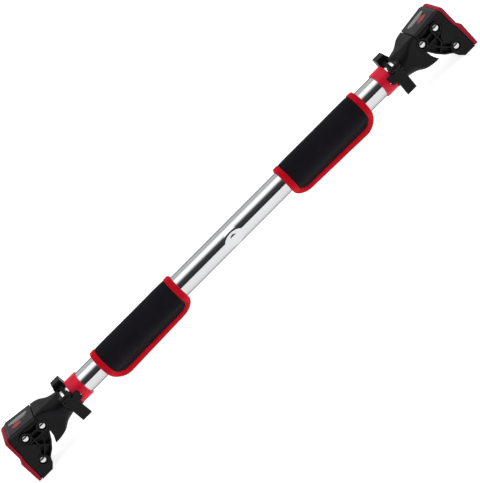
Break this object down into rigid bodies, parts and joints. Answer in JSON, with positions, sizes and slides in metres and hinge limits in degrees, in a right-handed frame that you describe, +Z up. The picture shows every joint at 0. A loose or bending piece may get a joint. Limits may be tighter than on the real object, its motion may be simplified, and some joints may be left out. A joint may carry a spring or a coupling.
{
  "type": "pull up bar",
  "caption": "Doorway pull-up bar: a chromed tube with padded grips is turned to screw two padded end feet outwards against a door frame, with a lever lock at each end.",
  "frame": {"origin": "on the tube's axis, midway along the bar", "axes": "+X along the tube towards the right foot, +Z up when the bar is in a doorway, -Y towards the user"},
  "size_m": [0.7418, 0.043, 0.0719],
  "materials": {
    "chrome": "bright chrome plate",
    "spindle_chrome": "chrome plated screw thread",
    "bright_steel": "nickel plated, domed",
    "plain_steel": "zinc plated",
    "spring_steel": "blued spring steel",
    "grey_nylon": "moulded nylon",
    "black_plastic": "satin moulded ABS",
    "label_film": "printed film",
    "red_plastic": "moulded, satin gloss",
    "red_rubber": "soft moulded rubber",
    "neoprene": "knit-faced neoprene foam",
    "red_binding": "woven binding tape",
    "hook_tape": "hook and loop tape"
  },
  "bodies": {
    "left_foot": {"left_spindle": "spindle_chrome", "left_spindle_stop": "plain_steel", "left_neck_hood": "black_plastic", "left_spindle_pin": "plain_steel", "left_front_shell": "black_plastic", "left_back_shell": "black_plastic", "left_top_cover": "black_plastic", "left_label_panel": "label_film", "left_end_pad": "red_rubber", "left_inner_plate": "plain_steel", "left_foot_screws": "bright_steel", "left_foot_nuts": "plain_steel"},
    "left_lock": {"left_lock_ring": "black_plastic", "left_lever_pin": "plain_steel"},
    "left_lever": {"left_lock_lever": "black_plastic", "left_lever_spring": "spring_steel"},
    "tube": {"main_tube": "chrome", "centre_rivet": "bright_steel", "centre_stop": "grey_nylon", "left_tube_nut": "grey_nylon", "left_collar": "red_plastic", "left_grip_wrap": "neoprene", "left_grip_binding": "red_binding", "left_hook_strip": "hook_tape", "left_loop_strip": "hook_tape", "right_tube_nut": "grey_nylon", "right_collar": "red_plastic", "right_grip_wrap": "neoprene", "right_grip_binding": "red_binding", "right_hook_strip": "hook_tape", "right_loop_strip": "hook_tape"},
    "right_lock": {"right_lock_ring": "black_plastic", "right_lever_pin": "plain_steel"},
    "right_lever": {"right_lock_lever": "black_plastic", "right_lever_spring": "spring_steel"},
    "right_foot": {"right_spindle": "spindle_chrome", "right_spindle_stop": "plain_steel", "right_neck_hood": "black_plastic", "right_spindle_pin": "plain_steel", "right_front_shell": "black_plastic", "right_back_shell": "black_plastic", "right_top_cover": "black_plastic", "right_label_panel": "label_film", "right_end_pad": "red_rubber", "right_inner_plate": "plain_steel", "right_foot_screws": "bright_steel", "right_foot_nuts": "plain_steel"}
  },
  "joints": [
    {"name": "left_travel", "type": "slide", "parent": "left_foot", "child": "left_lock", "axis": [1, 0, 0], "range_m": [0, 0.096]},
    {"name": "tube_turn", "type": "hinge", "parent": "left_lock", "child": "tube", "pos_m": [0, 0, 0], "axis": [1, 0, 0], "range_deg": [0, 5760]},
    {"name": "right_lock_turn", "type": "hinge", "parent": "tube", "child": "right_lock", "pos_m": [0, 0, 0], "axis": [1, 0, 0], "range_deg": [-5760, 0]},
    {"name": "right_travel", "type": "slide", "parent": "right_lock", "child": "right_foot", "axis": [1, 0, 0], "range_m": [0, 0.096]},
    {"name": "left_lever_turn", "type": "hinge", "parent": "left_lock", "child": "left_lever", "pos_m": [-0.2734, -0.0202, 0.012], "axis": [1, 0, 0], "range_deg": [-25, 6]},
    {"name": "right_lever_turn", "type": "hinge", "parent": "right_lock", "child": "right_lever", "pos_m": [0.2734, -0.0202, 0.012], "axis": [1, 0, 0], "range_deg": [-25, 6]}
  ],
  "couplings": [
    {"joint": "tube_turn", "follows": "left_travel", "rad_per_m": 1047.2},
    {"joint": "right_lock_turn", "follows": "left_travel", "rad_per_m": -1047.2},
    {"joint": "right_travel", "follows": "left_travel", "ratio": 1}
  ]
}
